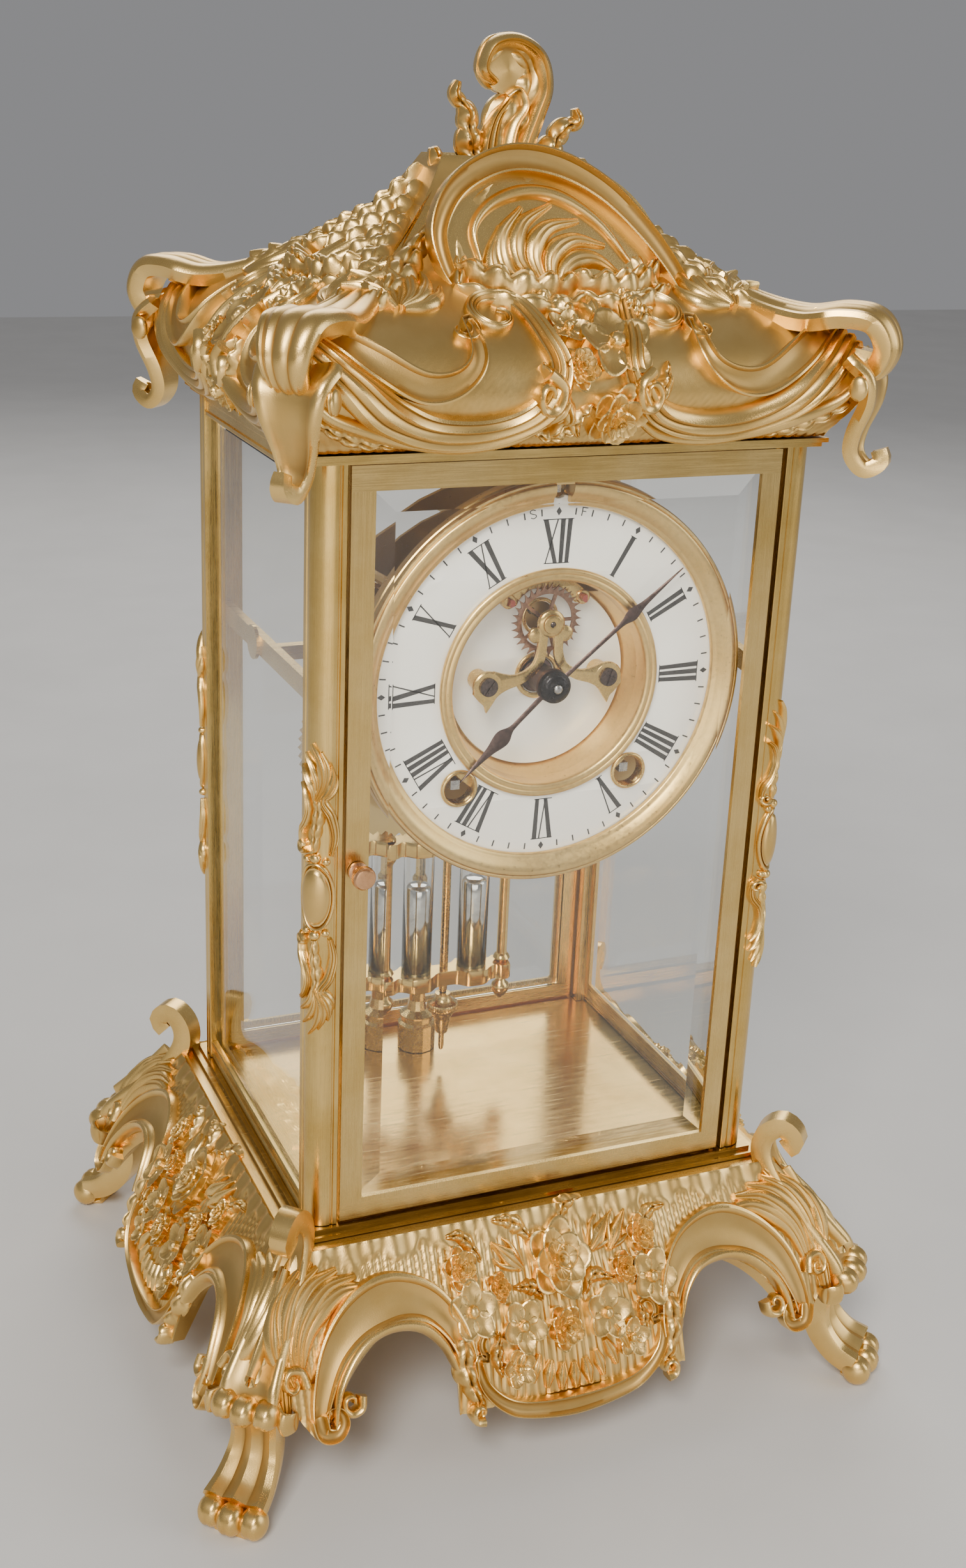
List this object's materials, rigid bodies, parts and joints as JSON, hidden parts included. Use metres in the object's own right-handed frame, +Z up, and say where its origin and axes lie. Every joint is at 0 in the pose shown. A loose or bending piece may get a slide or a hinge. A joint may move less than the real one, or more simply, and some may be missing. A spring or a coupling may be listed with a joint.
{
  "type": "skeleton clock",
  "caption": "Four-glass mantel regulator clock with ornate gilt base and crest, open escapement in the dial and a mercury pendulum.",
  "frame": {"origin": "the surface that the clock stands on, under the middle of its base", "axes": "+Z up, -Y towards the dial, +X to the right as seen from the front"},
  "size_m": [0.2696, 0.2376, 0.468],
  "materials": {
    "gilt": "matt gilt casting with burnished high points",
    "brass": "lacquered, brushed along its length",
    "enamel": "glossy vitreous enamel",
    "steel": "blued and browned steel",
    "glass": "clear, bevelled at its edges",
    "bronze": "bare bronze, dulled",
    "mercury": "liquid metal inside clear glass"
  },
  "bodies": {
    "case": {"base_casting": "gilt", "bottom_plate": "brass", "top_plate": "brass", "top_casting": "gilt", "post_front_left": "brass", "post_rear_left": "brass", "post_front_right": "brass", "post_rear_right": "brass", "post_mount_front_left": "gilt", "post_mount_rear_left": "gilt", "post_mount_front_right": "gilt", "post_mount_rear_right": "gilt", "side_glass_left": "glass", "side_glass_right": "glass", "dial_bezel": "gilt", "chapter_ring": "enamel", "recess_cup": "gilt", "inner_disc": "enamel", "winding_grommet_left": "brass", "winding_grommet_right": "brass", "escape_bridge": "brass", "front_plate": "brass", "back_plate": "brass", "pillar_top_left": "brass", "pillar_top_right": "brass", "pillar_bottom": "brass", "movement_rail_left": "brass", "movement_rail_right": "brass", "gong_coil": "steel", "gong_stand": "brass", "suspension_cock": "brass"},
    "front_door": {"front_door_frame": "brass", "front_door_glass": "glass"},
    "front_knob": {"front_door_knob": "brass"},
    "back_door": {"back_door_frame": "brass", "back_door_glass": "glass"},
    "back_knob": {"back_door_knob": "brass"},
    "centre_arbor": {"centre_wheel": "brass", "minute_hand": "steel", "hand_nut": "steel"},
    "hour_pipe": {"hour_hand": "steel"},
    "motion_arbor": {"minute_wheel": "brass"},
    "intermediate_arbor": {"intermediate_wheel": "brass"},
    "third_arbor": {"third_wheel": "brass"},
    "escape_arbor": {"escape_wheel": "bronze"},
    "time_barrel_body": {"time_barrel": "brass"},
    "time_winder": {"time_winding_arbor": "steel"},
    "strike_barrel_body": {"strike_barrel": "brass"},
    "strike_winder": {"strike_winding_arbor": "steel"},
    "pin_arbor": {"strike_pin_wheel": "brass"},
    "fly_arbor": {"strike_fly": "brass"},
    "hammer": {"strike_hammer": "brass"},
    "anchor": {"pallet_anchor": "brass"},
    "pendulum": {"pendulum_rod": "brass", "pendulum_frame": "brass", "mercury_vial_left": "mercury", "mercury_vial_right": "mercury"},
    "rating_nut_body": {"rating_nut": "brass"},
    "regulator": {"regulator_arbor": "steel"},
    "chops": {"suspension_chops": "brass"}
  },
  "joints": [
    {"name": "front_door_open", "type": "hinge", "parent": "case", "child": "front_door", "pos_m": [0.072, -0.067, 0.216], "axis": [0, 0, 1], "range_deg": [0, 110]},
    {"name": "front_knob_turn", "type": "hinge", "parent": "front_door", "child": "front_knob", "pos_m": [-0.07, -0.072, 0.216], "axis": [0, 1, 0], "range_deg": [0, 90]},
    {"name": "back_door_open", "type": "hinge", "parent": "case", "child": "back_door", "pos_m": [-0.072, 0.067, 0.216], "axis": [0, 0, 1], "range_deg": [0, 110]},
    {"name": "back_knob_turn", "type": "hinge", "parent": "back_door", "child": "back_knob", "pos_m": [0.07, 0.072, 0.216], "axis": [0, -1, 0], "range_deg": [0, 90]},
    {"name": "third_turn", "type": "hinge", "parent": "case", "child": "third_arbor", "pos_m": [-0.01382, -0.019, 0.28275], "axis": [0, 1, 0], "continuous": true},
    {"name": "centre_turn", "type": "hinge", "parent": "case", "child": "centre_arbor", "pos_m": [0, -0.03, 0.269], "axis": [0, 1, 0], "continuous": true},
    {"name": "hour_turn", "type": "hinge", "parent": "case", "child": "hour_pipe", "pos_m": [0, -0.05, 0.269], "axis": [0, 1, 0], "continuous": true},
    {"name": "motion_turn", "type": "hinge", "parent": "case", "child": "motion_arbor", "pos_m": [0.00885, -0.04, 0.26417], "axis": [0, 1, 0], "continuous": true},
    {"name": "intermediate_turn", "type": "hinge", "parent": "case", "child": "intermediate_arbor", "pos_m": [0.01894, -0.028, 0.27364], "axis": [0, 1, 0], "continuous": true},
    {"name": "time_barrel_turn", "type": "hinge", "parent": "case", "child": "time_barrel_body", "pos_m": [0.031, -0.024, 0.2355], "axis": [0, 1, 0], "continuous": true},
    {"name": "escape_turn", "type": "hinge", "parent": "case", "child": "escape_arbor", "pos_m": [0, -0.045, 0.289], "axis": [0, 1, 0], "continuous": true},
    {"name": "time_wind", "type": "hinge", "parent": "case", "child": "time_winder", "pos_m": [0.031, -0.04, 0.2355], "axis": [0, 1, 0], "continuous": true},
    {"name": "strike_barrel_turn", "type": "hinge", "parent": "case", "child": "strike_barrel_body", "pos_m": [-0.031, -0.015, 0.2355], "axis": [0, 1, 0], "continuous": true},
    {"name": "pin_turn", "type": "hinge", "parent": "case", "child": "pin_arbor", "pos_m": [-0.034, -0.015, 0.27539], "axis": [0, 1, 0], "continuous": true},
    {"name": "fly_turn", "type": "hinge", "parent": "case", "child": "fly_arbor", "pos_m": [-0.034, -0.027, 0.29024], "axis": [0, 1, 0], "continuous": true},
    {"name": "strike_wind", "type": "hinge", "parent": "case", "child": "strike_winder", "pos_m": [-0.031, -0.04, 0.2355], "axis": [0, 1, 0], "continuous": true},
    {"name": "hammer_lift", "type": "hinge", "parent": "case", "child": "hammer", "pos_m": [-0.022, 0.006, 0.305], "axis": [0, 1, 0], "range_deg": [-2.5, 10], "stiffness_Nm_per_rad": 0.08},
    {"name": "pendulum_swing", "type": "hinge", "parent": "case", "child": "pendulum", "pos_m": [0, 0.026, 0.301], "axis": [0, 1, 0], "range_deg": [-2.5, 2.5]},
    {"name": "anchor_rock", "type": "hinge", "parent": "case", "child": "anchor", "pos_m": [0, -0.048, 0.301], "axis": [0, 1, 0], "range_deg": [-2.5, 2.5]},
    {"name": "rating_nut_turn", "type": "hinge", "parent": "pendulum", "child": "rating_nut_body", "pos_m": [0, 0.026, 0.107], "axis": [0, 0, 1], "continuous": true},
    {"name": "regulator_turn", "type": "hinge", "parent": "case", "child": "regulator", "pos_m": [0, -0.052, 0.332], "axis": [0, 1, 0], "range_deg": [-720, 720]},
    {"name": "chops_slide", "type": "slide", "parent": "case", "child": "chops", "axis": [0, 0, 1], "range_m": [-0.001, 0.001]}
  ],
  "couplings": [
    {"joint": "centre_turn", "follows": "third_turn", "ratio": -0.083333},
    {"joint": "escape_turn", "follows": "third_turn", "ratio": -12.667},
    {"joint": "motion_turn", "follows": "third_turn", "ratio": 0.027778},
    {"joint": "hour_turn", "follows": "third_turn", "ratio": -0.0069444},
    {"joint": "intermediate_turn", "follows": "third_turn", "ratio": 0.0095238},
    {"joint": "time_barrel_turn", "follows": "third_turn", "ratio": -0.0010582},
    {"joint": "pin_turn", "follows": "strike_barrel_turn", "ratio": -9},
    {"joint": "fly_turn", "follows": "strike_barrel_turn", "ratio": 90},
    {"joint": "anchor_rock", "follows": "pendulum_swing", "ratio": 1},
    {"joint": "chops_slide", "follows": "regulator_turn", "m_per_rad": 0.000079577}
  ]
}
